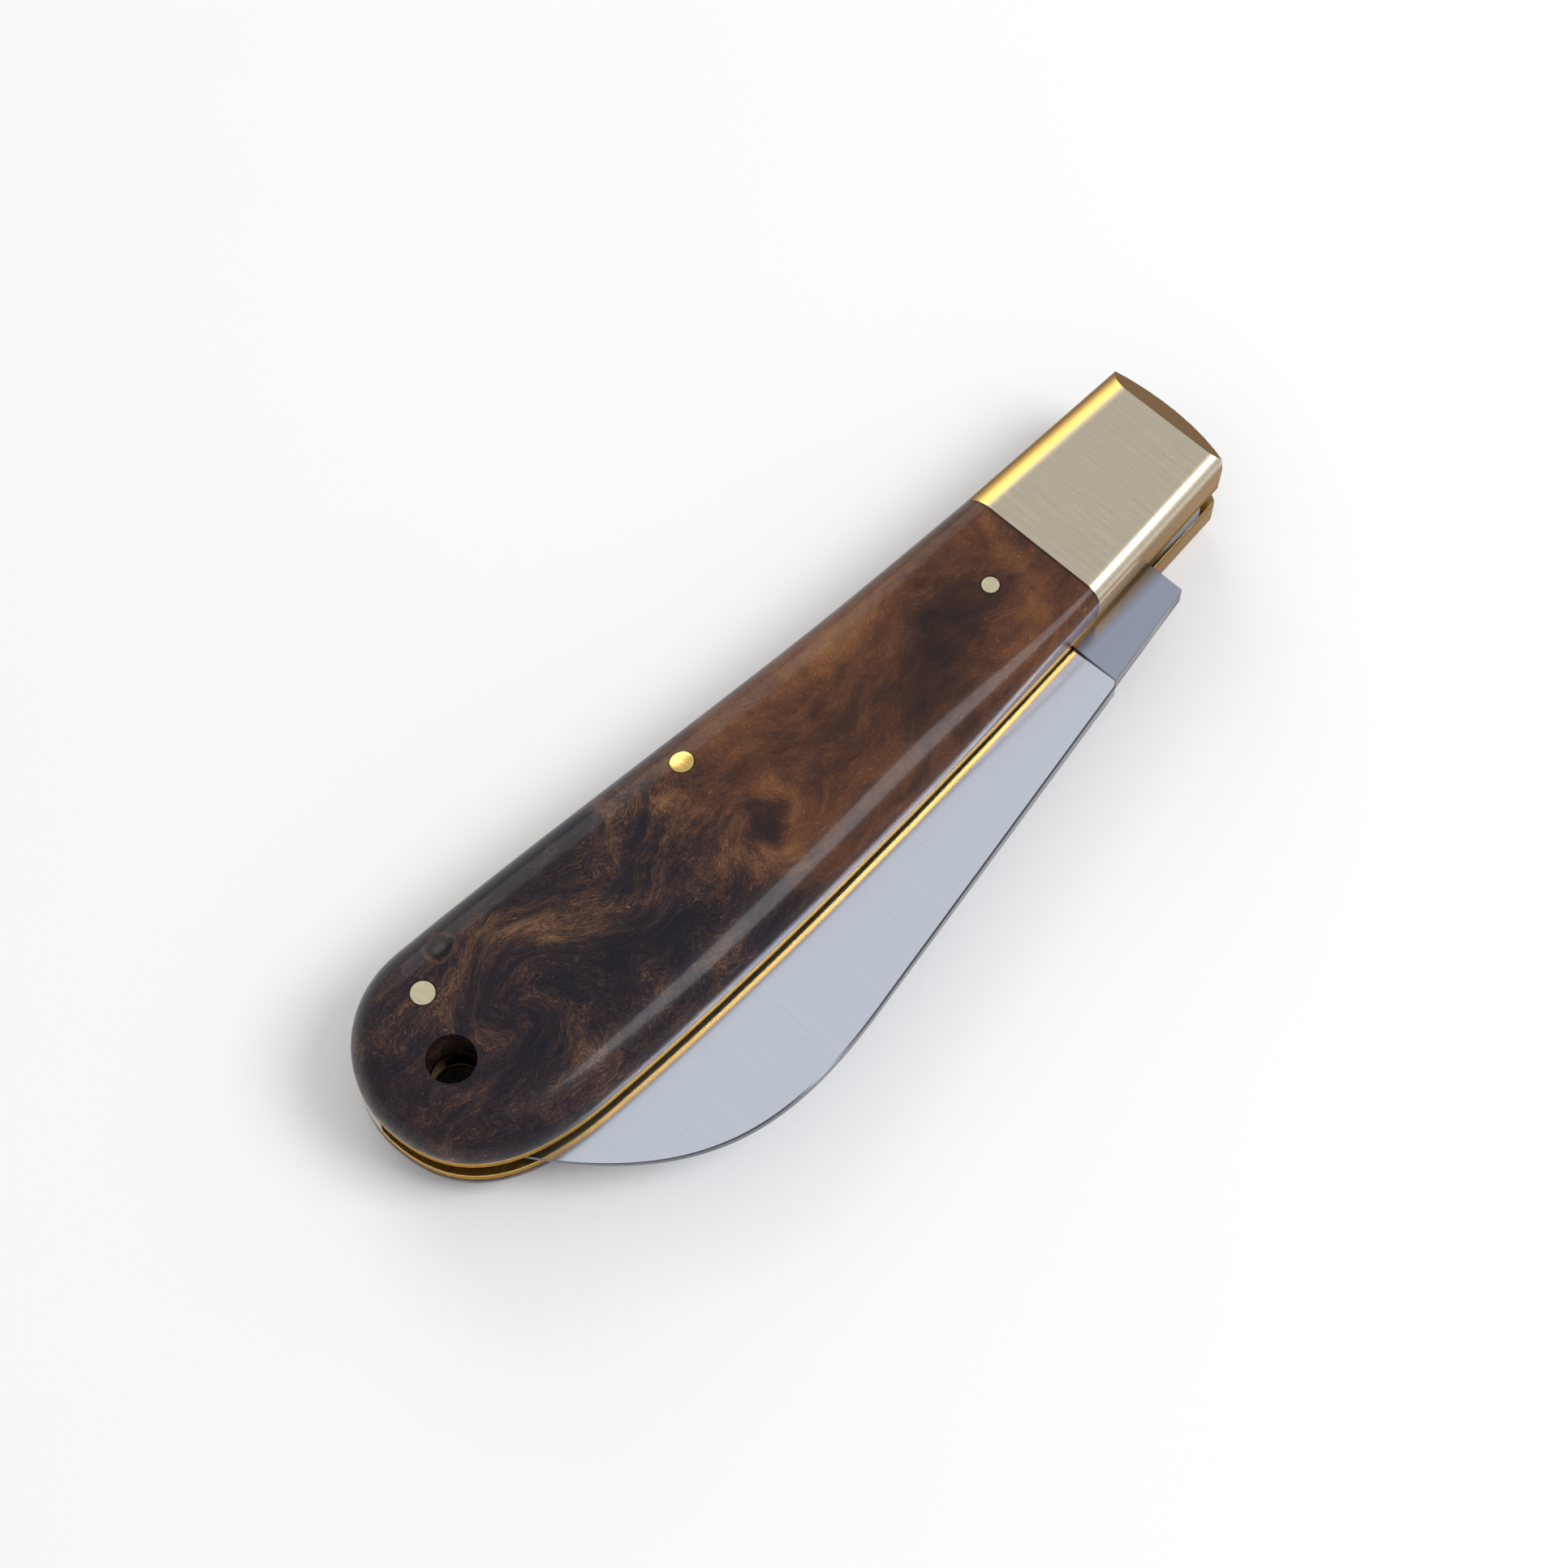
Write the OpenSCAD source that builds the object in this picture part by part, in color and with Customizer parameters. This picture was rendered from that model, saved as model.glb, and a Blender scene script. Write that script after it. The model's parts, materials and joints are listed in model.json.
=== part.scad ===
// Closed slip-joint pocket knife with a broad sheepsfoot blade, lying on its rear side.
// X runs along the handle with the bolsters at +X, Y runs from the belly to the spine,
// and Z is the thickness. The plan is drawn about the handle's middle plane and then placed
// so that the origin is at the bottom centre of the closed knife.

/* [Handle] */
// Length of the handle from the butt to the end of the bolsters
handle_length = 110; // [105:1:120]
// Thickness of each scale and each bolster
cover_t = 4.6; // [4.2:0.1:5]
// Thickness of each liner
liner_t = 1.0; // [0.8:0.1:1.2]
// Width of the slot between the liners
slot_w = 2.6; // [2.4:0.1:3]
// How far the rounded edge of a scale reaches in from its outline
scale_round = 5.2; // [4:0.1:5.4]
// Distance from the handle's middle to the joint between scale and bolster
bolster_start = 31.7; // [30:0.1:34]

/* [Bolsters] */
// Radius of a bolster's long edge on the spine side
bolster_spine_r = 3.6; // [2.5:0.1:3.8]
// Radius of a bolster's long edge on the belly side
bolster_belly_r = 2; // [1:0.1:2.5]
// Length of the slanted facet at the end of a bolster
facet = 3.3; // [2:0.1:3.5]

/* [Blade] */
// Gap between the blade and each liner
blade_gap = 0.05; // [0.03:0.01:0.1]
// Half width of the square tang
tang_half = 5.5; // [5.3:0.1:5.6]
// Radius that trims the corners of the tang
tang_r = 6.4; // [6.2:0.1:6.8]
// Thickness of the cutting edge
edge_t = 0.3; // [0.2:0.05:0.5]
// Thickness of the blade's back at its broadest place
hump_t = 1.1; // [0.9:0.1:1.5]
// Depth of the step at the plunge line
plunge_step = 0.08; // [0.05:0.01:0.15]

/* [Backspring] */
// Height of the spring's free end, which the open blade rests against
spring_end_h = 4.8; // [4.4:0.1:5]
// Gap between the spring and the tang
spring_gap = 0.05; // [0.03:0.01:0.1]

/* [Pins and hole] */
// Diameter of the blade's pivot pin
pivot_d = 4; // [3:0.1:4.5]
// Radial clearance of the blade on its pivot pin
pivot_play = 0.03; // [0.02:0.01:0.08]
// Diameter of the two pins through the scales and the spring
pin_d = 2.5; // [2.2:0.1:3]
// Diameter of the short pin near each bolster
small_pin_d = 1.9; // [1.5:0.1:2.2]
// Diameter of the lanyard hole
lanyard_d = 4.9; // [4:0.1:5.4]

/* [Hidden] */

$fn = 64;
curve_steps = 16;
arc_steps = 4;
round_steps = 6;
far = 200;

// The plan is drawn for a handle of 110 mm and scaled with the handle's length.
plan = handle_length / 110;
half_t = slot_w / 2 + liner_t + cover_t;
cover_z = slot_w / 2 + liner_t;
blade_t = slot_w - 2 * blade_gap;

pivot = [45.9, -4.85] * plan;
middle_pin_at = [-10, 6.8] * plan;
rear_pin_at = [-44.1, 7.9] * plan;
small_pin_at = [25.1, -2.3] * plan;
lanyard_at = [-46.9, 1.2] * plan;

// Control points of the handle's outline, one curve for each side and end.
spine_curve = [[53.6, 5.9], [19.9, 6.4], [-16.6, 12.1], [-42.4, 13.9]] * plan;
butt_upper_curve = [[-42.4, 13.9], [-49.4, 14.4], [-55, 9.1], [-55, 2.2]] * plan;
butt_lower_curve = [[-55, 2.2], [-55, -5.2], [-50.6, -10.2], [-39, -11.1]] * plan;
belly_curve = [[-39, -11.1], [-14.4, -13], [19.4, -12], [52.1, -10.2]] * plan;
end_curve = [[52.1, -10.2], [55.4, -5.1], [56, 1.1], [53.6, 5.9]] * plan;

function bezier(p, n) = [
    for (i = [0 : n - 1])
        let (t = i / n, s = 1 - t)
            s * s * s * p[0] + 3 * s * s * t * p[1] + 3 * s * t * t * p[2] + t * t * t * p[3]
];

function arc(at, r, a0, a1) = [
    for (i = [0 : arc_steps])
        let (a = a0 + (a1 - a0) * i / arc_steps)
            at + r * [cos(a), sin(a)]
];

handle_sides = concat(
    bezier(spine_curve, curve_steps),
    bezier(butt_upper_curve, curve_steps),
    bezier(butt_lower_curve, curve_steps),
    bezier(belly_curve, curve_steps),
    [belly_curve[3]]
);
handle_outline = concat(handle_sides, bezier(end_curve, curve_steps / 2));

// The blade lies closed, with its back below the belly and its edge inside the slot.
stop_x = 2 * pivot.x - 51.3 * plan;
stop_depth = pivot.y - tang_half - spring_end_h;
plunge_x = 28 * plan;
heel = [27, -1.2] * plan;
tip = [-48.4, -7.6] * plan;
back_curve = [[-12.4, -22.9], [-28.5, -25.3], [-38.2, -23.6], [-48.4, -7.6]] * plan;
tang_corner = acos(tang_half / tang_r);
blade_outline = concat(
    arc(pivot, tang_r, 90 - tang_corner, tang_corner),
    arc(pivot, tang_r, -tang_corner, tang_corner - 90),
    [
        [stop_x, pivot.y - tang_half], [stop_x, stop_depth],
        [plunge_x + 0.1, -16.9 * plan], [plunge_x - 0.5, -17.35 * plan]
    ],
    bezier(back_curve, curve_steps),
    [tip, heel, heel + [1.2, -0.5], heel + [2.8, 0.3], [34 * plan, pivot.y + tang_half]]
);
edge_angle = atan2(heel.y - tip.y, heel.x - tip.x);
blade_h = 17 * plan;

// The inner side of the backspring, from its free end to the butt.
spring_y = pivot.y + tang_half + spring_gap;
spring_end_x = 2 * pivot.x - stop_x - spring_gap;
spring_split_x = -5.5 * plan;
spring_inner = concat(
    [[spring_end_x, spring_y], [38 * plan, spring_y]],
    [for (p = [[34, 1.8], [18, 3.3], [3, 4.7], [-5, 3.3], [-14, 3.3], [-22, 5.7], [-35, 6.3],
        [-41, 4.3], [-50, 4.1], [-56, 3.2]]) p * plan]
);

all_x = [for (p = handle_outline) p.x];
all_y = [for (p = concat(handle_outline, blade_outline)) p.y];
centre = [(max(all_x) + min(all_x)) / 2, (max(all_y) + min(all_y)) / 2];

module place() {
    translate([-centre.x, -centre.y, half_t]) children();
}

module rear() {
    place() mirror([0, 0, 1]) children();
}

// A hole or pin through the whole handle, or from z0 up to z1.
module bore(at, d, z0 = -far, z1 = far) {
    translate([at.x, at.y, z0]) cylinder(d = d, h = z1 - z0);
}

// The inward normal of the open outline at point i, level at its two ends.
function inward(p, i) =
    i == 0 ? [0, -1] : i == len(p) - 1 ? [0, 1] :
    let (d = p[i + 1] - p[i - 1]) [-d.y, d.x] / norm(d);

// One ring of the rounded cover, at the angle a up the quarter ellipse of its edge.
function cover_ring(p, a) = [
    for (i = [0 : len(p) - 1])
        let (q = p[i] + inward(p, i) * scale_round * (1 - cos(a)))
            [q.x, q.y, cover_z + cover_t * sin(a)]
];

// The front half of the handle above its liner, with its edge rounded to a flat top.
module rounded_cover() {
    p = handle_sides;
    n = len(p);
    rings = [for (k = [0 : round_steps]) cover_ring(p, 90 * k / round_steps)];
    sides = [
        for (k = [0 : round_steps - 1], i = [0 : n - 1])
            let (j = (i + 1) % n, a = k * n)
                each [[a + i, a + n + i, a + n + j], [a + i, a + n + j, a + j]]
    ];
    bottom = [for (i = [0 : n - 1]) i];
    top = [for (i = [n - 1 : -1 : 0]) round_steps * n + i];
    polyhedron([for (r = rings) each r], concat(sides, [bottom], [top]));
}

module scale_shape() {
    difference() {
        intersection() {
            rounded_cover();
            translate([-far, -far, 0]) cube([far + bolster_start * plan, 2 * far, far]);
        }
        bore(lanyard_at, lanyard_d);
        bore(middle_pin_at, pin_d);
        bore(rear_pin_at, pin_d);
        bore(small_pin_at, small_pin_d);
    }
}

// A long bar whose upper edge at y = 0 is rounded with radius r.
module rounded_bar(r) {
    translate([-far / 2, 0, half_t]) rotate([90, 0, 90]) linear_extrude(far) {
        translate([-far, -far]) square([far - r, far]);
        translate([-far, -far]) square([far, far - r]);
        translate([-r, -r]) circle(r);
    }
}

module bolster_shape() {
    spine_angle = -2.5;
    belly_angle = 2.8;
    difference() {
        intersection() {
            translate([0, 0, cover_z]) linear_extrude(cover_t) polygon(handle_outline);
            translate([bolster_start * plan, -far, 0]) cube([far, 2 * far, far]);
            translate(spine_curve[0]) rotate(spine_angle) rounded_bar(bolster_spine_r);
            translate(belly_curve[3]) rotate(180 + belly_angle) rounded_bar(bolster_belly_r);
        }
        translate([handle_length / 2 - facet, -far / 2, half_t])
            rotate([0, 45, 0]) cube([far, far, far]);
        bore(pivot, pivot_d);
    }
}

module liner_shape() {
    difference() {
        translate([0, 0, slot_w / 2]) linear_extrude(liner_t) polygon(handle_outline);
        bore(pivot, pivot_d);
        bore(lanyard_at, lanyard_d);
        bore(middle_pin_at, pin_d);
        bore(rear_pin_at, pin_d);
        bore(small_pin_at, small_pin_d);
    }
}

// What is ground off one side of the blade: a slope to the edge and a taper to the tip.
module ground_side() {
    slope = atan2((blade_t - edge_t) / 2, blade_h);
    taper = atan2((blade_t - hump_t) / 2, 55 * plan);
    intersection() {
        translate([plunge_x - far, -far, 0]) cube([far, 2 * far, far]);
        union() {
            translate([tip.x, tip.y, edge_t / 2]) rotate(edge_angle)
                rotate([-slope, 0, 0]) translate([-far / 2, -far / 2, 0]) cube([far, far, far]);
            translate([plunge_x, 0, blade_t / 2 - plunge_step])
                rotate([0, -taper, 0]) translate([-far, -far / 2, 0]) cube([far, far, far]);
        }
    }
}

module blade_shape() {
    difference() {
        translate([0, 0, -blade_t / 2]) linear_extrude(blade_t) polygon(blade_outline);
        ground_side();
        mirror([0, 0, 1]) ground_side();
        bore(pivot, pivot_d + 2 * pivot_play);
    }
}

// The strip along the spine between the spring's inner side and the handle's outline.
module spring_plan() {
    intersection() {
        polygon(handle_outline);
        polygon(concat(spring_inner, [[-far, far], [spring_end_x, far]]));
    }
}

module spring_part(thickness, x0, x1) {
    intersection() {
        translate([0, 0, -thickness / 2]) linear_extrude(thickness) spring_plan();
        translate([x0, -far, -far]) cube([x1 - x0, 2 * far, 2 * far]);
    }
}

// A pin through the handle, ending flush with the rounded faces of both scales.
module flush_pin(at, d) {
    bore(at, d, -cover_z, cover_z);
    for (side = [0, 1]) {
        mirror([0, 0, side]) intersection() {
            bore(at, d, cover_z, half_t);
            rounded_cover();
        }
    }
}

module front_scale() { color("#4a2a1a") place() scale_shape(); }
module rear_scale() { color("#4a2a1a") rear() scale_shape(); }
module front_bolster() { color("#b5a77d") place() bolster_shape(); }
module rear_bolster() { color("#b5a77d") rear() bolster_shape(); }
module front_liner() { color("#c9a65a") place() liner_shape(); }
module rear_liner() { color("#c9a65a") rear() liner_shape(); }
module blade() { color("#b9c0d4") place() blade_shape(); }

module backspring() {
    color("#a9adbb") place() difference() {
        spring_part(slot_w, -far, spring_split_x);
        bore(middle_pin_at, pin_d);
        bore(rear_pin_at, pin_d);
    }
}

module backspring_arm() {
    color("#a9adbb") place() spring_part(blade_t, spring_split_x, far);
}

module pivot_pin() { color("#b5a77d") place() bore(pivot, pivot_d, -half_t, half_t); }
module middle_pin() { color("#d9b75c") place() flush_pin(middle_pin_at, pin_d); }
module rear_pin() { color("#d2c48c") place() flush_pin(rear_pin_at, pin_d); }

module front_scale_pin() {
    color("#c9b98c") place() bore(small_pin_at, small_pin_d, slot_w / 2, half_t);
}

module rear_scale_pin() {
    color("#c9b98c") rear() bore(small_pin_at, small_pin_d, slot_w / 2, half_t);
}

front_scale();
rear_scale();
front_bolster();
rear_bolster();
front_liner();
rear_liner();
blade();
backspring();
backspring_arm();
pivot_pin();
middle_pin();
rear_pin();
front_scale_pin();
rear_scale_pin();
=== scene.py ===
"""A closed slip-joint pocket knife with burl-wood scales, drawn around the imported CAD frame."""

import json
import math

import bmesh
import bpy
from mathutils import Matrix, Vector

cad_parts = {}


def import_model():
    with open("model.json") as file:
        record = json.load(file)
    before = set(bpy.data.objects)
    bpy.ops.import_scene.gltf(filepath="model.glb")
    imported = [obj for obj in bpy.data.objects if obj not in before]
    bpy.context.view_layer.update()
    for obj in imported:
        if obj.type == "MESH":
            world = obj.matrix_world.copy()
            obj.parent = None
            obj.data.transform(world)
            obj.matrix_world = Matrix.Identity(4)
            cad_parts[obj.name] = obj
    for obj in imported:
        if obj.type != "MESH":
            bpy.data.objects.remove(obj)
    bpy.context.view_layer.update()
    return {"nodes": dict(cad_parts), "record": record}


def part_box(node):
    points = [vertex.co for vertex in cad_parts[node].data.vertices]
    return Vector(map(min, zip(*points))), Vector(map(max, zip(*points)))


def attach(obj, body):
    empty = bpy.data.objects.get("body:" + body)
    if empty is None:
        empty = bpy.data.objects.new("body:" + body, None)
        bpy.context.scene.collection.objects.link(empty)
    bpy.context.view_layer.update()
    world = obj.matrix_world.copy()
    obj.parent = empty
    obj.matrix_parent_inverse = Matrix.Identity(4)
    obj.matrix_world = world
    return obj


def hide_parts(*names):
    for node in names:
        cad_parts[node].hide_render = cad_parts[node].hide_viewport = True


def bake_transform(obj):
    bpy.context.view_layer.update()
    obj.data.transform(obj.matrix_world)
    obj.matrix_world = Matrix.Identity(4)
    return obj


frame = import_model()

MM = 0.001
SAME_POINT = 0.001 * MM
SAME_PLANE = math.radians(0.5)
CURVE_STEPS = 48

# Every size below is in millimetres, in the plan that the part is drawn on: +X towards the
# bolsters, +Y towards the spine. The handle's outline and the blade's curved back are cubic
# curves, and these are their control points.
SPINE = [(53.6, 5.9), (19.9, 6.4), (-16.6, 12.1), (-42.4, 13.9)]
BUTT_UPPER = [(-42.4, 13.9), (-49.4, 14.4), (-55, 9.1), (-55, 2.2)]
BUTT_LOWER = [(-55, 2.2), (-55, -5.2), (-50.6, -10.2), (-39, -11.1)]
BELLY = [(-39, -11.1), (-14.4, -13), (19.4, -12), (52.1, -10.2)]
TIP = (-48.4, -7.6)
BLADE_BACK = [(-12.4, -22.9), (-28.5, -25.3), (-38.2, -23.6), TIP]
# The backspring's inner side, from its front end to the butt.
SPRING_INNER = [
    (60, 0.7), (38, 0.7), (34, 1.8), (18, 3.3), (3, 4.7), (-5, 3.3), (-14, 3.3),
    (-22, 5.7), (-35, 6.3), (-41, 4.3), (-50, 4.1), (-60, 2.7),
]
BOLSTER_START = 31.7

# A scale's rounded edge reaches in by SCALE_ROUND. Near the bolster it narrows, over EDGE_CHANGE,
# to the bolster's own rounding. A low upright land stays under it.
SCALE_ROUND = 5.2
SPINE_ROUND = 3.6
BELLY_ROUND = 2.0
EDGE_CHANGE = 26
EDGE_LAND = 0.3
ROUND_STEPS = 14

# The ground part of the blade runs from the plunge line to the tip. Its back starts with a short
# drop, and its half thickness at the back falls to the hump and on to the tip.
PLUNGE = 28
PLUNGE_DROP = [(0, -17.0), (-0.25, -17.2), (-0.5, -17.35)]
PLUNGE_STEP = 0.1
HUMP = -27.0
HALF_AT_HUMP = 0.58
HALF_AT_TIP = 0.28
HEEL = (27, -1.2)
HEEL_SLOPE = 0.25
STRAIGHT_STEPS = 30
BACK_STEPS = 60
# Across the blade: half thickness at the edge and at the shoulder just behind it, and how much of
# the half thickness is left on the eased back.
HALF_AT_EDGE = 0.015
HALF_AT_SHOULDER = 0.16
SHOULDER_SHARE = 0.05
EASE_SHARE = 0.99
EASED_BACK = 0.82
GRIND_STEPS = 14

# The backspring's front end stays clear of the tang, and the strip is cut short where it would
# grow thinner than SPRING_THINNEST.
SPRING_PLAY = 0.08
SPRING_THINNEST = 0.15

# Pins: play in the wood, height above it, and sides.
PIN_PLAY = 0.015
PIN_PROUD = 0.012
PIN_SIDES = 40
PIVOT_SIDES = 48


def bezier(points, steps):
    """Points along a cubic curve, without its last one."""
    made = []
    for i in range(steps):
        t, s = i / steps, 1 - i / steps
        weights = (s * s * s, 3 * s * s * t, 3 * s * t * t, t * t * t)
        made.append(Vector((sum(w * p[0] for w, p in zip(weights, points)),
                            sum(w * p[1] for w, p in zip(weights, points)))))
    return made


# The plan's own middle lies on the middle of the CAD liner's box, which spans the handle.
CURVES = (SPINE, BUTT_UPPER, BUTT_LOWER, BELLY)
OUTLINE = [p for curve in CURVES for p in bezier(curve, CURVE_STEPS)]
OUTLINE.append(Vector(BELLY[-1]))
liner_low, liner_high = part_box("front_liner")
plan_left = min(p.x for p in OUTLINE)
plan_low, plan_high = min(p.y for p in OUTLINE), max(p.y for p in OUTLINE)
SHIFT = Vector((
    liner_low.x / MM - plan_left,
    (liner_low.y + liner_high.y) / 2 / MM - (plan_low + plan_high) / 2,
))
MIDDLE = (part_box("blade")[0].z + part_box("blade")[1].z) / 2 / MM
COVER_BASE, COVER_TOP = (corner.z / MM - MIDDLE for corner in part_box("front_scale"))
LANYARD = next(m for m in frame["record"]["mounts"] if m["name"] == "lanyard_hole")
LANYARD_CENTRE = Vector(LANYARD["pos_m"])
LANYARD_RADIUS = LANYARD["dims"]["r_mm"]


def at(x, y, z=0.0):
    """A plan point, and a height from the handle's middle plane, in the row frame in metres."""
    return Vector(((x + SHIFT.x) * MM, (y + SHIFT.y) * MM, (z + MIDDLE) * MM))


def row_x(x):
    """A plan x in the row frame's millimetres, as the materials measure it."""
    return x + SHIFT.x


def row_y(y):
    return y + SHIFT.y


def pin_axis(node):
    """A pin's centre and radius in metres."""
    low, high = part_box(node)
    return (low + high) / 2, (high.x - low.x) / 2


def ease(t):
    """0 to 1 with a gentle start and end."""
    t = min(max(t, 0.0), 1.0)
    return t * t * (3 - 2 * t)


# ---------------------------------------------------------------- mesh helpers

def new_piece(name, bm, material, smooth_angle=35.0):
    bmesh.ops.recalc_face_normals(bm, faces=bm.faces)
    mesh = bpy.data.meshes.new(name)
    bm.to_mesh(mesh)
    bm.free()
    piece = bpy.data.objects.new(name, mesh)
    bpy.context.scene.collection.objects.link(piece)
    mesh.materials.append(material)
    mesh.shade_smooth()
    mesh.set_sharp_from_angle(angle=math.radians(smooth_angle))
    return piece


def place_piece(piece, body, slot, *nodes):
    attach(piece, body)
    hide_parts(*nodes)


def apply_modifiers(piece):
    """Swaps the piece's mesh for what its modifiers make of it."""
    graph = bpy.context.evaluated_depsgraph_get()
    made = bpy.data.meshes.new_from_object(piece.evaluated_get(graph))
    piece.modifiers.clear()
    piece.data = made


def soften(piece, width, segments, angle):
    """Rounds the piece's hard edges, which catch the light."""
    bevel = piece.modifiers.new("edges", "BEVEL")
    bevel.width = width * MM
    bevel.segments = segments
    bevel.limit_method = "ANGLE"
    bevel.angle_limit = math.radians(angle)
    bevel.harden_normals = True
    weighted = piece.modifiers.new("normals", "WEIGHTED_NORMAL")
    weighted.keep_sharp = False
    apply_modifiers(piece)


def cad_bmesh(node):
    bm = bmesh.new()
    bm.from_mesh(frame["nodes"][node].data)
    bmesh.ops.remove_doubles(bm, verts=bm.verts, dist=SAME_POINT)
    return bm


def join_flat_faces(bm):
    """Joins coplanar triangles, so that only real edges are left to soften."""
    bmesh.ops.dissolve_limit(bm, angle_limit=SAME_PLANE, verts=bm.verts, edges=bm.edges)


def keep_side(bm, x, bolster_side):
    """Cuts the mesh at the plan's x, keeps one side of it and closes the cut."""
    sliced = bmesh.ops.bisect_plane(
        bm, geom=bm.verts[:] + bm.edges[:] + bm.faces[:], plane_co=(at(x, 0).x, 0, 0),
        plane_no=(1, 0, 0), clear_inner=bolster_side, clear_outer=not bolster_side)
    open_edges = [e for e in sliced["geom_cut"] if isinstance(e, bmesh.types.BMEdge)]
    bmesh.ops.holes_fill(bm, edges=open_edges)


def loft(rings, tip=None):
    """A closed mesh through rings of equal length. It ends in a flat cap, or in a tip."""
    bm = bmesh.new()
    made = [[bm.verts.new(p) for p in ring] for ring in rings]
    count = len(made[0])
    for lower, upper in zip(made, made[1:]):
        for i in range(count):
            j = (i + 1) % count
            bm.faces.new((lower[i], lower[j], upper[j], upper[i]))
    bm.faces.new(made[0])
    end = made[-1]
    if tip is None:
        bm.faces.new(end)
    else:
        point = bm.verts.new(tip)
        for i in range(count):
            bm.faces.new((end[i], end[(i + 1) % count], point))
    return bm


def cylinder_cutter(centre, radius, low, high, sides):
    bm = bmesh.new()
    bmesh.ops.create_cone(
        bm, cap_ends=True, segments=sides, radius1=radius, radius2=radius,
        depth=high - low, matrix=Matrix.Translation((centre.x, centre.y, (low + high) / 2)))
    mesh = bpy.data.meshes.new("cutter")
    bm.to_mesh(mesh)
    bm.free()
    cutter = bpy.data.objects.new("cutter", mesh)
    bpy.context.scene.collection.objects.link(cutter)
    return cutter


def cut(piece, cutters):
    for cutter in cutters:
        step = piece.modifiers.new("cut", "BOOLEAN")
        step.operation = "DIFFERENCE"
        step.solver = "EXACT"
        step.object = cutter
    apply_modifiers(piece)
    for cutter in cutters:
        bpy.data.objects.remove(cutter)


# ---------------------------------------------------------------- material helpers

class Graph:
    """A material's node tree, with a short call for each kind of node that it needs.

    place is a point of the knife in millimetres, along and across are its x and y, and facing
    holds the three parts of the surface's direction.
    """

    def __init__(self, name, **shader):
        self.material = bpy.data.materials.new(name)
        self.material.use_nodes = True
        self.tree = self.material.node_tree
        self.shader = self.tree.nodes["Principled BSDF"]
        for socket, value in shader.items():
            self.shader.inputs[socket.replace("_", " ")].default_value = value
        coordinates = self.tree.nodes.new("ShaderNodeTexCoord").outputs
        self.place = self.vector("SCALE", coordinates["Object"], scale=1 / MM)
        self.along, self.across = self.node("SeparateXYZ", {0: self.place}).outputs[:2]
        self.facing = self.node("SeparateXYZ", {0: coordinates["Normal"]}).outputs

    def link(self, value, socket):
        if isinstance(value, bpy.types.NodeSocket):
            self.tree.links.new(value, socket)
        else:
            socket.default_value = value

    def node(self, kind, inputs, **settings):
        made = self.tree.nodes.new("ShaderNode" + kind)
        for name, value in settings.items():
            setattr(made, name, value)
        for name, value in inputs.items():
            self.link(value, made.inputs[name])
        return made

    def math(self, operation, a, b=0.0, clamp=False):
        return self.node("Math", {0: a, 1: b}, operation=operation, use_clamp=clamp).outputs[0]

    def plus(self, a, b):
        return self.math("ADD", a, b)

    def minus(self, a, b):
        return self.math("SUBTRACT", a, b)

    def times(self, a, b):
        return self.math("MULTIPLY", a, b)

    def bell(self, reach):
        """1 where reach is 0, falling smoothly to nearly 0 at 2."""
        return self.math("EXPONENT", self.times(self.times(reach, reach), -1.0))

    def vector(self, operation, a, b=None, scale=None):
        inputs = {0: a}
        if b is not None:
            inputs[1] = b
        if scale is not None:
            inputs["Scale"] = scale
        made = self.node("VectorMath", inputs, operation=operation)
        return made.outputs["Value" if operation == "LENGTH" else "Vector"]

    def stretch(self, place, factors):
        return self.vector("MULTIPLY", place, factors)

    def distance(self, place, centre):
        """Level distance from an upright line through centre."""
        away = self.vector("SUBTRACT", place, centre)
        return self.vector("LENGTH", self.stretch(away, (1.0, 1.0, 0.0)))

    def noise(self, place, scale, detail, roughness=0.5, colour=False):
        made = self.node("TexNoise", {
            "Vector": place, "Scale": scale, "Detail": detail, "Roughness": roughness})
        return made.outputs["Color" if colour else 0]

    def warp(self, place, scale, detail, reach):
        """The place shifted by a smooth noise, by up to about half of reach each way."""
        shift = self.noise(place, scale, detail, colour=True)
        shift = self.vector("SUBTRACT", shift, (0.5, 0.5, 0.5))
        return self.vector("ADD", place, self.vector("SCALE", shift, scale=reach))

    def mix(self, factor, a, b):
        return self.node("Mix", {0: factor, 6: a, 7: b}, data_type="RGBA").outputs[2]

    def paint(self, colour, mask, shade):
        """The colour with a plain shade laid over it where mask is 1."""
        return self.mix(mask, colour, (*shade, 1.0))

    def steps(self, value, low, high, to_low=0.0, to_high=1.0):
        made = self.node("MapRange", {
            "Value": value, "From Min": low, "From Max": high, "To Min": to_low,
            "To Max": to_high}, interpolation_type="SMOOTHSTEP")
        return made.outputs[0]

    def ramp(self, value, stops):
        made = self.node("ValToRGB", {0: value})
        elements = made.color_ramp.elements
        while len(elements) < len(stops):
            elements.new(0.5)
        for element, (position, colour) in zip(elements, stops):
            element.position = position
            element.color = (*colour, 1.0)
        return made.outputs[0]

    def bump(self, height, distance, strength):
        inputs = {"Height": height, "Distance": distance * MM, "Strength": strength}
        return self.node("Bump", inputs).outputs[0]

    def set(self, **sockets):
        for socket, value in sockets.items():
            self.link(value, self.shader.inputs[socket.replace("_", " ")])
        return self.material


# ---------------------------------------------------------------- wood

EYE = (-9.5, -3.8)
KNOT = (-39.8, 10.2)
# Where the burl's figure curls: plan place, radius and turn in radians.
CURLS = [
    (EYE, 4.5, 1.3),
    ((-39.5, -1.5), 5.0, -2.2),
    ((-28, 4), 6.0, 0.9),
    ((-22, -6), 5.0, 0.8),
    ((10, 3), 7.0, -0.4),
]
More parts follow.
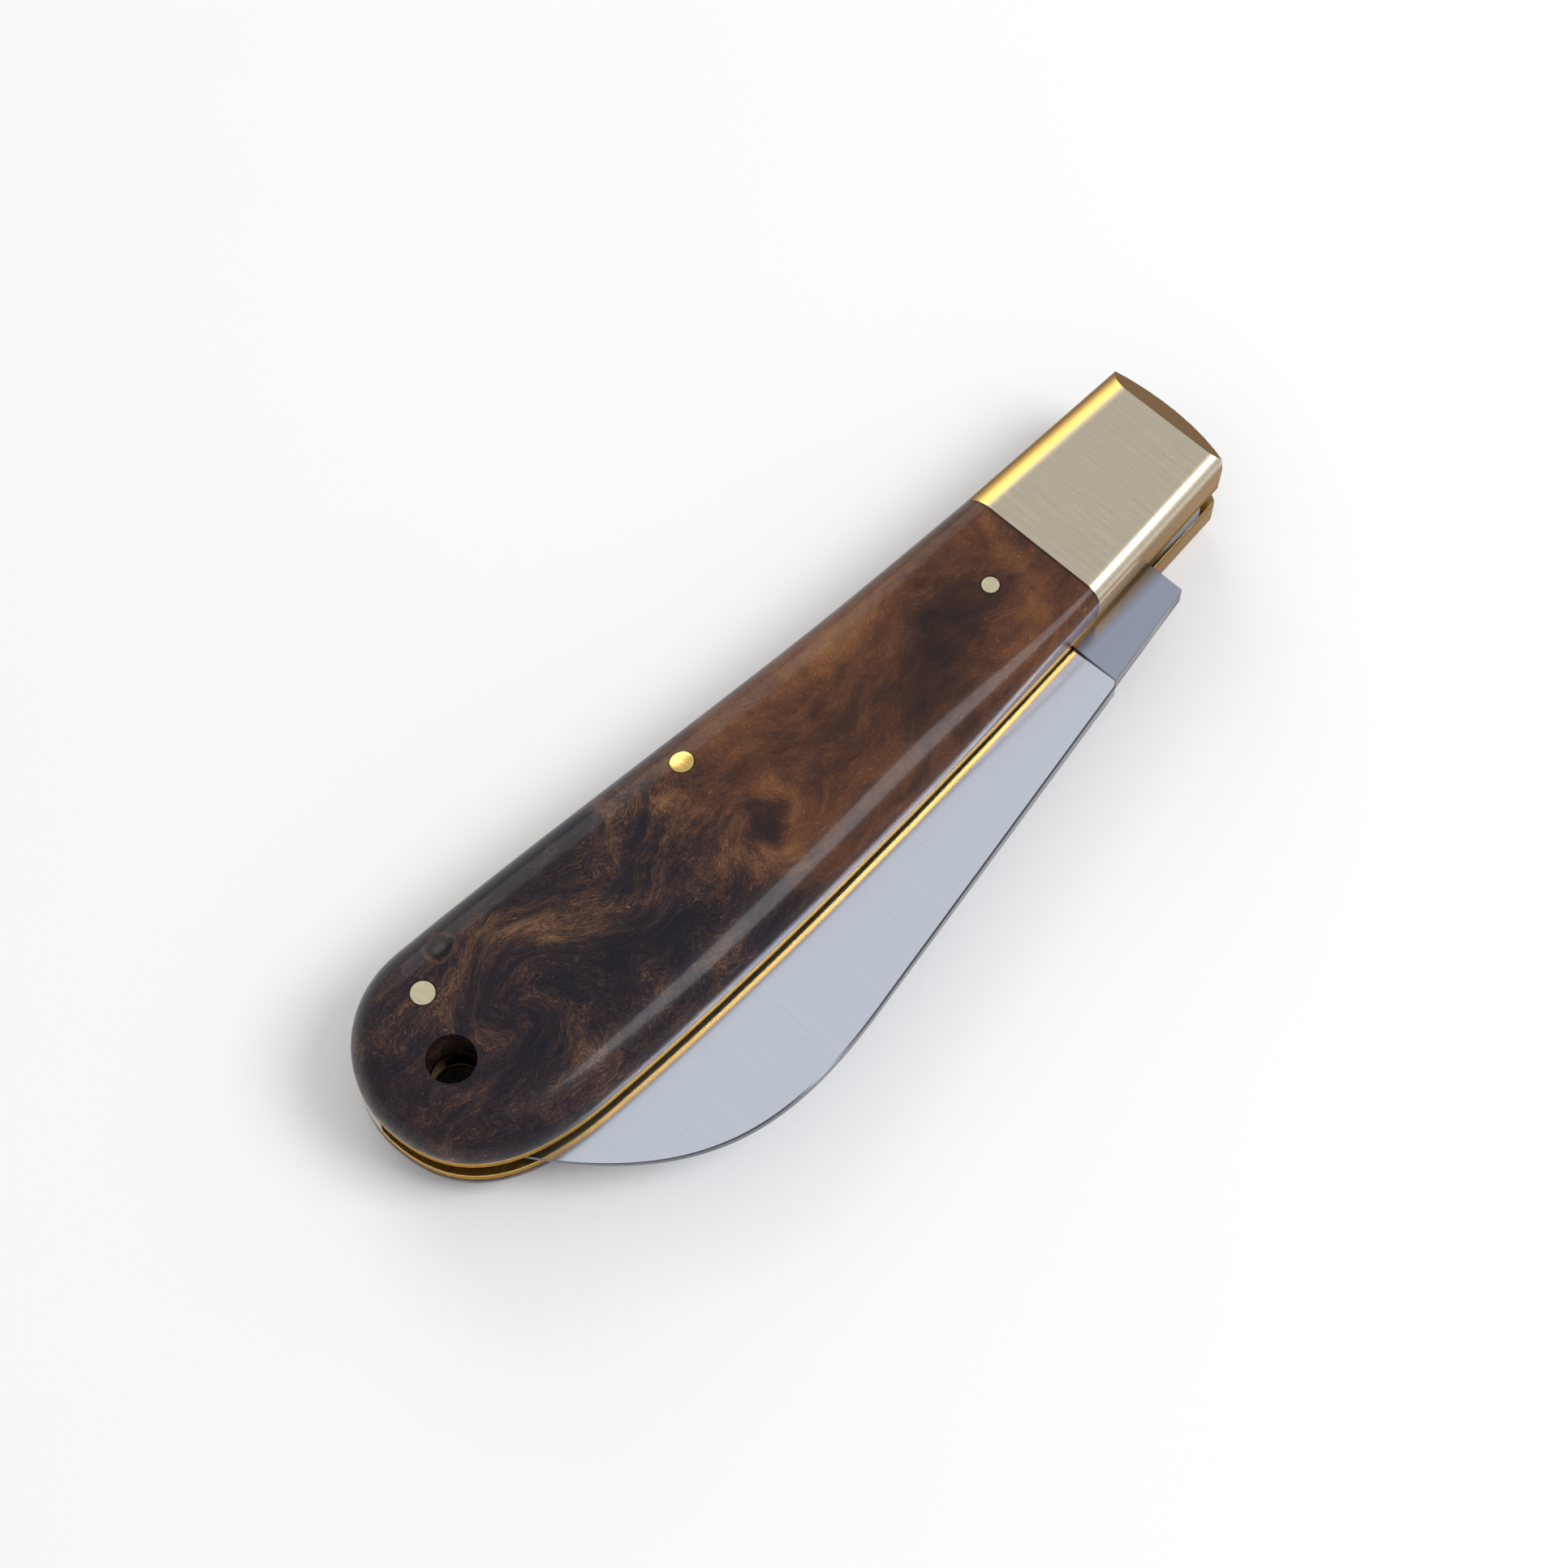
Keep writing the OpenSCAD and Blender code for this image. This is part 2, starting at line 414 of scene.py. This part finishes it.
# Light and dark clouds: plan place, half length, half width, turn in degrees, strength.
CLOUDS = [
    ((12, 7), 17, 2.8, -2, 0.17), ((-15, 5.5), 4.5, 1.5, -50, 0.17),
    ((28.5, -4), 6, 1.8, 80, 0.13), ((30, 3), 3, 2, 60, 0.10),
    ((19.5, -1.5), 6, 4, 20, -0.15), ((11, -5), 8, 3.2, 10, -0.13),
    ((-1, -8), 6, 2.5, 10, 0.06), ((-23, 6.3), 4.5, 2.5, 10, 0.13),
    ((-33, 4.7), 5, 2.4, -15, 0.13), ((-36, 9), 3.5, 2, 60, 0.10),
    ((-16.5, -2.3), 3.5, 2, 0, 0.10), ((-31, 10), 3, 2, 0, -0.10),
    ((-22, -5.5), 6, 3, 0, -0.14), ((-32, -4), 4, 3, 0, -0.10),
    ((-48, 6), 5, 4, 50, 0.09), ((-49.5, -6), 3.5, 4, 0, 0.10),
]
MEAN_TONE = 0.37
# The dark, streaky butt half turns into the warm, cloudy bolster half between these places.
WARM_FROM, WARM_TO = -20, -5
# Colours from dark to light: place on the scale of tones, colour.
DARK_TONES = [
    (0.12, (0.0060, 0.0054, 0.0100)), (0.32, (0.016, 0.0105, 0.0155)),
    (0.46, (0.042, 0.021, 0.0175)), (0.60, (0.095, 0.047, 0.029)),
    (0.80, (0.200, 0.105, 0.058)),
]
WARM_TONES = [
    (0.16, (0.014, 0.008, 0.009)), (0.36, (0.046, 0.018, 0.012)),
    (0.52, (0.108, 0.040, 0.018)), (0.70, (0.205, 0.083, 0.030)),
    (0.90, (0.400, 0.205, 0.065)),
]


def row_point(centre):
    x, y = centre
    return row_x(x), row_y(y), 0.0


def swirl(g, place, centre, radius, turn):
    """The place turned about a plan point, most in its middle."""
    middle = row_point(centre)
    fade = g.bell(g.math("DIVIDE", g.distance(place, middle), radius))
    return g.node("VectorRotate", {
        "Vector": place, "Center": middle, "Axis": (0, 0, 1),
        "Angle": g.times(fade, turn)}).outputs[0]


def near(g, place, centre, inner, outer):
    """1 at a plan point, falling to 0 between two distances from it."""
    return g.steps(g.distance(place, row_point(centre)), inner, outer, 1.0, 0.0)


def oval(g, place, centre, half_long, half_wide, turn):
    """A soft oval, 1 in its middle."""
    moved = g.vector("SUBTRACT", place, row_point(centre))
    turned = g.node("VectorRotate", {
        "Vector": moved, "Axis": (0, 0, 1), "Angle": -math.radians(turn)}).outputs[0]
    return g.bell(g.vector("LENGTH", g.stretch(turned, (1 / half_long, 1 / half_wide, 0.0))))


def burl_tone(g, layers, warmth, uneven):
    """How light the burl is. Each layer comes with its weight in the butt and in the warm half."""
    tone = MEAN_TONE
    for layer, in_butt, in_warm in layers:
        weight = g.plus(g.times(warmth, in_warm - in_butt), in_butt)
        tone = g.plus(tone, g.times(g.minus(layer, 0.5), weight))
    tone = g.plus(tone, g.times(warmth, 0.10))
    for centre, half_long, half_wide, turn, strength in CLOUDS:
        cloud = oval(g, uneven, centre, half_long, half_wide, turn)
        tone = g.plus(tone, g.times(cloud, strength))
    # A dark eye with a light arc curling round it.
    eye = near(g, uneven, EYE, 0.8, 4.6)
    arc = g.minus(near(g, uneven, EYE, 4.0, 6.2), eye)
    tone = g.minus(tone, g.times(eye, 0.17))
    return g.math("ADD", tone, g.times(arc, 0.10), clamp=True)


def paint_knot(g, colour):
    """One sound black knot with a pale rim, near the spine."""
    wobble = g.warp(g.place, 0.7, 2.0, 1.6)
    rim = g.minus(near(g, wobble, KNOT, 1.5, 1.9), near(g, wobble, KNOT, 1.1, 1.5))
    colour = g.paint(colour, g.times(rim, 0.45), (0.12, 0.055, 0.03))
    colour = g.paint(colour, near(g, wobble, KNOT, 1.0, 1.4), (0.004, 0.004, 0.006))
    heart = g.times(near(g, wobble, KNOT, 0.4, 0.8), 0.7)
    return g.paint(colour, heart, (0.055, 0.038, 0.034))


def paint_grime(g, colour):
    """The grain darkens where glue and dust sit round the pins and at the bolster."""
    for pin in ("middle_pin", "rear_pin", "front_scale_pin"):
        centre, radius = pin_axis(pin)
        radius /= MM
        ring = g.steps(g.distance(g.place, centre / MM), radius, radius + 0.22, 0.75, 0.0)
        colour = g.paint(colour, ring, (0.006, 0.004, 0.004))
    joint = row_x(BOLSTER_START)
    seam = g.steps(g.along, joint - 0.5, joint, 0.0, 0.8)
    return g.paint(colour, seam, (0.008, 0.005, 0.004))


def burl_wood():
    g = Graph("burl_wood", Specular_IOR_Level=0.12, Coat_Weight=0.21, Coat_Roughness=0.11)
    warped = g.warp(g.place, 0.05, 2.0, 10.0)
    for centre, radius, turn in CURLS:
        warped = swirl(g, warped, centre, radius, turn)
    curled = g.warp(warped, 0.3, 3.0, 3.4)
    uneven = g.warp(g.place, 0.22, 4.0, 7.0)

    fibre = g.noise(g.stretch(curled, (0.14, 0.95, 0.7)), 1.0, 7.0, 0.62)
    fine = g.noise(g.stretch(curled, (0.9, 7.5, 5.0)), 1.0, 4.0, 0.6)
    broad = g.noise(g.stretch(warped, (0.08, 0.12, 0.12)), 1.0, 3.0)
    mottle = g.noise(g.stretch(curled, (0.24, 0.38, 0.38)), 1.0, 5.0, 0.6)
    layers = ((broad, 0.85, 0.50), (mottle, 0.75, 0.42), (fibre, 0.50, 0.22), (fine, 0.95, 0.22))
    along = g.node("SeparateXYZ", {0: uneven}).outputs[0]
    warmth = g.steps(along, row_x(WARM_FROM), row_x(WARM_TO))
    tone = burl_tone(g, layers, warmth, uneven)
    colour = g.mix(warmth, g.ramp(tone, DARK_TONES), g.ramp(tone, WARM_TONES))

    # Short bright flecks along the fibre, and small dark pores.
    fleck = g.noise(g.stretch(curled, (1.9, 10.0, 10.0)), 1.0, 2.0)
    fleck = g.times(g.steps(fleck, 0.63, 0.70), g.steps(tone, 0.25, 0.6))
    colour = g.paint(colour, g.times(fleck, 0.55), (0.42, 0.20, 0.085))
    pore = g.steps(g.noise(g.stretch(curled, (1.0, 5.0, 5.0)), 1.6, 1.0), 0.70, 0.78)
    colour = g.paint(colour, g.times(pore, 0.6), (0.008, 0.004, 0.004))

    colour = paint_knot(g, colour)
    # Painted shade: the rounding on the spine side is darker.
    shaded = g.steps(g.facing[1], 0.45, 0.90, 0.0, 0.7)
    colour = g.paint(colour, shaded, (0.016, 0.011, 0.017))
    colour = paint_grime(g, colour)

    relief = g.minus(g.times(fine, 0.35), g.times(pore, 0.8))
    return g.set(Base_Color=colour, Normal=g.bump(relief, 0.03, 0.5),
                 Roughness=g.steps(fibre, 0.3, 0.7, 0.40, 0.30))


# ---------------------------------------------------------------- metals

def brushed(g, base, shade, roughness, lines, depth, blotch=0.08, spread=1.0):
    """Metal with fine brush lines: lines holds how often they repeat along each axis, per mm."""
    hair = g.noise(g.stretch(g.place, lines), 1.0, 4.0, 0.65)
    coarse = g.noise(g.stretch(g.place, tuple(c * 0.25 for c in lines)), 1.0, 2.0)
    patch = g.noise(g.place, blotch, 3.0, 0.6)
    tone = g.plus(g.times(hair, 0.7), g.times(coarse, 0.3))
    colour = g.mix(g.steps(tone, 0.32, 0.68), (*shade, 1.0), (*base, 1.0))
    colour = g.paint(colour, g.steps(patch, 0.35, 0.75, 0.0, 0.3), shade)
    swing = 0.03 * spread
    rough = g.plus(g.steps(hair, 0.3, 0.7, roughness - swing, roughness + swing),
                   g.times(g.minus(patch, 0.5), 2 * swing))
    g.set(Base_Color=colour, Roughness=rough, Normal=g.bump(tone, depth, 0.6))
    return colour


def bolster_brass():
    g = Graph("bolster_brass", Metallic=1.0, Specular_Tint=(0.80, 0.66, 0.52, 1.0))
    colour = brushed(g, (0.70, 0.625, 0.485), (0.61, 0.54, 0.41), roughness=0.30,
                     lines=(13.0, 0.3, 0.9), depth=0.006)
    x, y = g.facing[0], g.facing[1]
    # Painted light, set by which way each face turns: a painted golden highlight on the spine-side
    # rounding, and painted shade where that rounding turns steep.
    colour = g.paint(colour, g.times(g.steps(y, 0.06, 0.36), 0.92), (0.82, 0.52, 0.13))
    colour = g.paint(colour, g.steps(y, 0.50, 0.80), (0.19, 0.115, 0.06))
    # Painted shade on the side wall along the belly.
    belly_shade = g.steps(y, -0.97, -0.80, 1.0, 0.0)
    colour = g.paint(colour, g.times(belly_shade, 0.9), (0.30, 0.205, 0.125))
    # A painted dark reflection on the end facet.
    colour = g.paint(colour, g.steps(x, 0.42, 0.66), (0.125, 0.074, 0.044))
    return g.set(Base_Color=colour)


def liner_brass():
    g = Graph("liner_brass", Metallic=1.0, Specular_Tint=(0.85, 0.66, 0.45, 1.0))
    colour = brushed(g, (0.80, 0.60, 0.26), (0.58, 0.40, 0.14), roughness=0.22,
                     lines=(0.5, 7.0, 7.0), depth=0.006)
    # Painted dark reflection: the liner's edge faces, which turn sideways, are a deeper
    # orange-brown than its flat sides.
    edges = g.steps(g.math("ABSOLUTE", g.facing[2]), 0.02, 0.30, 0.88, 0.0)
    colour = g.paint(colour, edges, (0.38, 0.19, 0.045))
    # Painted shade darkens the liner in and round the lanyard hole, and the liner turns darker
    # towards the pivot end.
    reach = g.distance(g.place, LANYARD_CENTRE / MM)
    lanyard_shade = g.steps(reach, LANYARD_RADIUS + 0.3, LANYARD_RADIUS + 2.6, 0.95, 0.0)
    colour = g.paint(colour, lanyard_shade, (0.035, 0.022, 0.012))
    start = row_x(PLUNGE)
    pivot_end = g.steps(g.along, start, start + 12, 0.0, 0.65)
    return g.set(Base_Color=g.paint(colour, pivot_end, (0.11, 0.072, 0.035)))


def blade_steel():
    g = Graph("blade_steel", Metallic=1.0)
    colour = brushed(g, (0.84, 0.89, 0.985), (0.79, 0.84, 0.94), roughness=0.17,
                     lines=(13.0, 0.12, 0.6), depth=0.0012, blotch=0.05, spread=0.7)
    # The ricasso is duller than the ground part.
    start = row_x(PLUNGE)
    ricasso = g.steps(g.along, start - 0.05, start + 0.05)
    colour = g.paint(colour, g.times(ricasso, 0.72), (0.30, 0.34, 0.46))
    # Painted shadow darkens the ricasso in a strip where it comes out of the handle.
    handle_shadow = g.steps(g.across, row_y(-13.2), row_y(-10.8), 0.0, 0.75)
    handle_shadow = g.times(g.times(handle_shadow, ricasso), g.steps(g.across, row_y(-10.8), row_y(-10), 1.0, 0.2))
    colour = g.paint(colour, handle_shadow, (0.06, 0.05, 0.045))
    # Painted shade: faces that turn away from the flat sides, such as the back, are darkened, so
    # the back is a dark narrow strip.
    back = g.steps(g.math("ABSOLUTE", g.facing[2]), 0.93, 0.985, 0.92, 0.0)
    return g.set(Base_Color=g.paint(colour, back, (0.05, 0.05, 0.065)))


def spring_steel():
    g = Graph("spring_steel", Metallic=1.0)
    brushed(g, (0.60, 0.61, 0.68), (0.46, 0.47, 0.54), roughness=0.24, lines=(0.5, 6.0, 6.0),
            depth=0.004)
    return g.material


def pin_brass(name, base, shade):
    g = Graph(name, Metallic=1.0)
    brushed(g, base, shade, roughness=0.22, lines=(6.0, 1.2, 1.2), depth=0.003, blotch=0.5)
    return g.material


# ---------------------------------------------------------------- scales, bolsters and liners

def inward(i):
    """The direction into the handle at point i of its outline, level at the two ends."""
    if i == 0:
        return Vector((0.0, -1.0))
    if i == len(OUTLINE) - 1:
        return Vector((0.0, 1.0))
    step = (OUTLINE[i + 1] - OUTLINE[i - 1]).normalized()
    return Vector((-step.y, step.x))


def rounding(i, cover):
    """How far in and how far down the rounded edge reaches at point i of the outline."""
    share = ease((BOLSTER_START - OUTLINE[i].x) / EDGE_CHANGE)
    own = SPINE_ROUND if i < len(OUTLINE) / 2 else BELLY_ROUND
    return own + (SCALE_ROUND - own) * share, own + (cover - EDGE_LAND - own) * share


def scale_piece(name, node, side, material, pins):
    """A wooden scale: an outline carried up a rounded edge to a flat top, then drilled."""
    low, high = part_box(node)
    base = (low.z if side > 0 else high.z) / MM - MIDDLE
    top = (high.z if side > 0 else low.z) / MM - MIDDLE
    cover = abs(top - base)
    rings = []
    for inset, lift in ((0.10, 0.0), (0.03, 0.04), (0.0, 0.12)):
        rings.append([at(*(p + inward(i) * inset), base + side * lift)
                      for i, p in enumerate(OUTLINE)])
    for k in range(ROUND_STEPS + 1):
        angle = math.radians(90 * k / ROUND_STEPS)
        ring = []
        for i, p in enumerate(OUTLINE):
            reach, rise = rounding(i, cover)
            q = p + inward(i) * reach * (1 - math.cos(angle))
            ring.append(at(*q, top - side * rise * (1 - math.sin(angle))))
        rings.append(ring)
    bm = loft(rings)
    keep_side(bm, BOLSTER_START, bolster_side=False)
    piece = new_piece(name, bm, material)
    below, above = low.z - 20 * MM, high.z + 20 * MM
    cutters = [cylinder_cutter(*pin_axis(pin), below, above, 64) for pin in pins]
    cutters.append(cylinder_cutter(LANYARD_CENTRE, LANYARD_RADIUS * MM, below, above, 96))
    cut(piece, cutters)
    soften(piece, 0.10, 2, 40.0)
    place_piece(piece, "handle", "wood", node)


def liner_piece(name, node, material):
    """The CAD liner with its hard edges eased."""
    bm = cad_bmesh(node)
    join_flat_faces(bm)
    piece = new_piece(name, bm, material, 25.0)
    soften(piece, 0.10, 3, 25.0)
    place_piece(piece, "handle", "liner", node)


def bolster_piece(name, node, material):
    """A bolster with its pivot hole closed: the pin is filed flush and can't be told apart."""
    bm = cad_bmesh(node)
    centre, radius = pin_axis("pivot_pin")
    inside = [f for f in bm.faces if all(
        (v.co.xy - centre.xy).length < radius + 0.02 * MM for v in f.verts)]
    bmesh.ops.delete(bm, geom=inside, context="FACES")
    bmesh.ops.holes_fill(bm, edges=[e for e in bm.edges if e.is_boundary])
    join_flat_faces(bm)
    piece = new_piece(name, bm, material, 25.0)
    soften(piece, 0.18, 3, 25.0)
    place_piece(piece, "handle", "bolster", node)


# ---------------------------------------------------------------- pins

def circle(centre, radius, count):
    """Plan points round a plan point."""
    turns = (2 * math.pi * i / count for i in range(count))
    return [centre + Vector((radius * math.cos(a), radius * math.sin(a))) for a in turns]


def plan_pin(node):
    """A pin's plan centre and its radius in millimetres."""
    centre, radius = pin_axis(node)
    return centre.xy / MM - SHIFT, radius / MM


def face_height(point):
    """Height of the front scale's face over a plan point away from the bolster."""
    inset = min((point - p).length for p in OUTLINE)
    share = min(inset / SCALE_ROUND, 1.0)
    rise = COVER_TOP - COVER_BASE - EDGE_LAND
    return COVER_TOP - rise + rise * math.sqrt(1 - (1 - share) ** 2)


def pin_head(name, node, material, both_ends=True):
    """A pin whose ends follow the rounded face of the scale that they are filed flush with."""
    centre, radius = plan_pin(node)
    radius -= PIN_PLAY
    # Share of the radius, and the drop of the eased rim there.
    profile = [(0.3, 0.0), (0.6, 0.0), (0.85, 0.0), (0.97, 0.01), (1.0, 0.05)]

    def ring(share, drop, side):
        return [at(*p, side * (face_height(p) + PIN_PROUD - drop))
                for p in circle(centre, radius * share, PIN_SIDES)]

    rings = [ring(share, drop, 1) for share, drop in profile]
    if both_ends:
        rings += [ring(share, drop, -1) for share, drop in reversed(profile)]
    else:
        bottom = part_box(node)[0].z / MM - MIDDLE
        rings.append([at(*p, bottom) for p in circle(centre, radius, PIN_SIDES)])
    piece = new_piece(name, loft(rings), material, 40.0)
    place_piece(piece, "handle", "pin_brass", node)
    return piece


def rear_small_pin(front_pin, material):
    """The short pin of the rear scale, the front one's mirror image."""
    bm = bmesh.new()
    bm.from_mesh(front_pin.data)
    bm.transform(Matrix.Translation((0, 0, 2 * MIDDLE * MM)) @ Matrix.Scale(-1, 4, (0, 0, 1)))
    piece = new_piece("small_pin_rear", bm, material, 40.0)
    place_piece(piece, "handle", "pin_brass", "rear_scale_pin")


def pivot_core(material):
    """The pivot pin's body between the bolsters' faces."""
    centre, radius = plan_pin("pivot_pin")
    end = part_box("pivot_pin")[1].z / MM - MIDDLE
    rings = [[at(*p, z) for p in circle(centre, radius * share, PIVOT_SIDES)]
             for share, z in ((0.8, 0.4 - end), (1.0, 0.7 - end),
                              (1.0, end - 0.7), (0.8, end - 0.4))]
    piece = new_piece("pivot_pin_core", loft(rings), material, 40.0)
    place_piece(piece, "handle", "bolster", "pivot_pin")


# ---------------------------------------------------------------- blade

def ground_section(edge, back, half_back):
    """The blade's closed cross-section from its edge to its back and round again."""
    front = [(edge, HALF_AT_EDGE)]
    for k in range(GRIND_STEPS + 1):
        share = SHOULDER_SHARE + (EASE_SHARE - SHOULDER_SHARE) * k / GRIND_STEPS
        growth = (share - SHOULDER_SHARE) / (1 - SHOULDER_SHARE)
        half = HALF_AT_SHOULDER + (half_back - HALF_AT_SHOULDER) * growth
        front.append((edge.lerp(back, share), half))
    front.append((back, half_back * EASED_BACK))
    return [at(*p, h) for p, h in front] + [at(*p, -h) for p, h in reversed(front)]


def edge_height(x):
    """The plan height of the cutting edge, or of the notch at its heel, at x."""
    if x <= HEEL[0]:
        share = (x - TIP[0]) / (HEEL[0] - TIP[0])
        return TIP[1] + share * (HEEL[1] - TIP[1])
    return HEEL[1] - HEEL_SLOPE * (x - HEEL[0])


def back_half(x, half_tang):
    """Half thickness at the blade's back."""
    if x > HUMP:
        share = (PLUNGE - x) / (PLUNGE - HUMP)
        return (half_tang - PLUNGE_STEP) * (1 - share) + HALF_AT_HUMP * share
    share = (HUMP - x) / (HUMP - TIP[0])
    return HALF_AT_HUMP * (1 - share) + HALF_AT_TIP * share


def ground_part(half_tang, material):
    drop = [Vector((PLUNGE + x, y)) for x, y in PLUNGE_DROP]
    curve = bezier(BLADE_BACK, BACK_STEPS)
    straight = [drop[-1].lerp(curve[0], k / STRAIGHT_STEPS) for k in range(1, STRAIGHT_STEPS)]
    rings = [ground_section(Vector((p.x, edge_height(p.x))), p, back_half(p.x, half_tang))
             for p in drop + straight + curve]
    return new_piece("ground", loft(rings, tip=at(*TIP)), material, 20.0)


def tang_part(material):
    """The CAD blade from the plunge line on, with its hard edges eased."""
    bm = cad_bmesh("blade")
    keep_side(bm, PLUNGE, bolster_side=True)
    join_flat_faces(bm)
    tang = new_piece("tang", bm, material, 25.0)
    soften(tang, 0.10, 2, 30.0)
    return tang


def blade_piece(material):
    """The blade: a flat tang and ricasso, and a ground part that thins to its edge and tip."""
    low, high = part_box("blade")
    joined = bmesh.new()
    for part in (ground_part((high.z - low.z) / 2 / MM, material), tang_part(material)):
        joined.from_mesh(part.data)
        bpy.data.objects.remove(part)
    piece = new_piece("knife_blade", joined, material, 20.0)
    place_piece(piece, "blade", "blade_steel", "blade")


# ---------------------------------------------------------------- backspring

def inner_height(x):
    """The plan height of the backspring's inner side at x."""
    for (x1, y1), (x0, y0) in zip(SPRING_INNER, SPRING_INNER[1:]):
        if x0 <= x <= x1:
            return y0 + (y1 - y0) * ease((x - x0) / (x1 - x0))
    return SPRING_INNER[-1][1]


def spring_piece(material):
    """The backspring as the one strip that it is."""
    front_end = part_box("backspring_arm")[1].x / MM - SHIFT.x - SPRING_PLAY
    low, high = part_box("backspring")
    half = (high.z - low.z) / 2 / MM
    outer = bezier(SPINE, 160) + bezier(BUTT_UPPER, 60)
    start = next(i for i, p in enumerate(outer) if p.x < front_end)
    before, after = outer[start - 1], outer[start]
    first = before.lerp(after, (before.x - front_end) / (before.x - after.x))
    kept = [p for p in outer[start:] if p.y > inner_height(p.x) + SPRING_THINNEST]
    rings = []
    for p in [first] + kept:
        inner = inner_height(p.x)
        rings.append([at(p.x, p.y, half), at(p.x, inner, half),
                      at(p.x, inner, -half), at(p.x, p.y, -half)])
    piece = new_piece("backspring_strip", loft(rings), material, 30.0)
    soften(piece, 0.10, 2, 40.0)
    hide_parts("backspring", "backspring_arm")
    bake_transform(piece)


# ---------------------------------------------------------------- floor, light and camera

def floor():
    bm = bmesh.new()
    bmesh.ops.create_grid(bm, x_segments=1, y_segments=1, size=3.0)
    g = Graph("floor", Roughness=0.9)
    grain = g.noise(g.place, 0.02, 2.0)
    g.set(Base_Color=g.mix(grain, (0.95, 0.945, 0.93, 1.0), (0.965, 0.96, 0.945, 1.0)))
    piece = new_piece("floor", bm, g.material)
    piece.location.z = -0.02 * MM


def soft_light(name, azimuth, elevation, distance, size, power, colour):
    """A square lamp aimed at the knife. Azimuth 0 is along +X, 90 is along +Y."""
    lamp = bpy.data.lights.new(name, "AREA")
    lamp.shape = "SQUARE"
    lamp.size = size
    lamp.energy = power
    lamp.color = colour
    made = bpy.data.objects.new(name, lamp)
    a, e = math.radians(azimuth), math.radians(elevation)
    direction = Vector((math.cos(a) * math.cos(e), math.sin(a) * math.cos(e), math.sin(e)))
    made.location = direction * distance
    made.rotation_euler = direction.to_track_quat("Z", "Y").to_euler()
    bpy.context.scene.collection.objects.link(made)


def world(colour, strength):
    made = bpy.data.worlds.new("studio")
    made.use_nodes = True
    shade = made.node_tree.nodes["Background"]
    shade.inputs[0].default_value = (*colour, 1)
    shade.inputs[1].default_value = strength
    bpy.context.scene.world = made


def camera(azimuth, elevation, distance, field, target):
    """Azimuth 0 looks along +Y with +X to the right."""
    data = bpy.data.cameras.new("camera")
    data.sensor_width = 36
    data.lens = data.sensor_width / 2 / math.tan(math.radians(field) / 2)
    data.clip_start = 0.01
    made = bpy.data.objects.new("camera", data)
    a, e = math.radians(azimuth), math.radians(elevation)
    away = Vector((math.sin(a) * math.cos(e), -math.cos(a) * math.cos(e), math.sin(e)))
    made.location = target + away * distance
    made.rotation_euler = away.to_track_quat("Z", "Y").to_euler()
    bpy.context.scene.collection.objects.link(made)
    bpy.context.scene.camera = made


# ---------------------------------------------------------------- build

wood = burl_wood()
bolster_metal = bolster_brass()
liner_metal = liner_brass()
pale_pin = pin_brass("pale_pin", (0.90, 0.80, 0.56), (0.77, 0.68, 0.45))
gold_pin = pin_brass("gold_pin", (0.90, 0.66, 0.24), (0.76, 0.50, 0.14))

scale_piece("wood_scale_front", "front_scale", 1, wood,
            ("middle_pin", "rear_pin", "front_scale_pin"))
scale_piece("wood_scale_rear", "rear_scale", -1, wood,
            ("middle_pin", "rear_pin", "rear_scale_pin"))
bolster_piece("bolster_front", "front_bolster", bolster_metal)
bolster_piece("bolster_rear", "rear_bolster", bolster_metal)
liner_piece("liner_front", "front_liner", liner_metal)
liner_piece("liner_rear", "rear_liner", liner_metal)
blade_piece(blade_steel())
spring_piece(spring_steel())
pin_head("middle_pin_brass", "middle_pin", gold_pin)
pin_head("rear_pin_brass", "rear_pin", pale_pin)
small_pin = pin_head("small_pin_front", "front_scale_pin", pale_pin, both_ends=False)
rear_small_pin(small_pin, pale_pin)
pivot_core(bolster_metal)

floor()
world((0.98, 0.985, 1.0), 0.62)
soft_light("right_box", azimuth=-59, elevation=53, distance=0.9, size=0.42, power=3.9,
           colour=(0.93, 0.95, 1.0))
soft_light("back_box", azimuth=65, elevation=28, distance=1.0, size=0.6, power=2.0,
           colour=(1.0, 0.96, 0.90))
bpy.context.scene.view_settings.view_transform = "Standard"
camera(azimuth=-47, elevation=65, distance=0.3226, field=27.15, target=at(-2.67, 0))
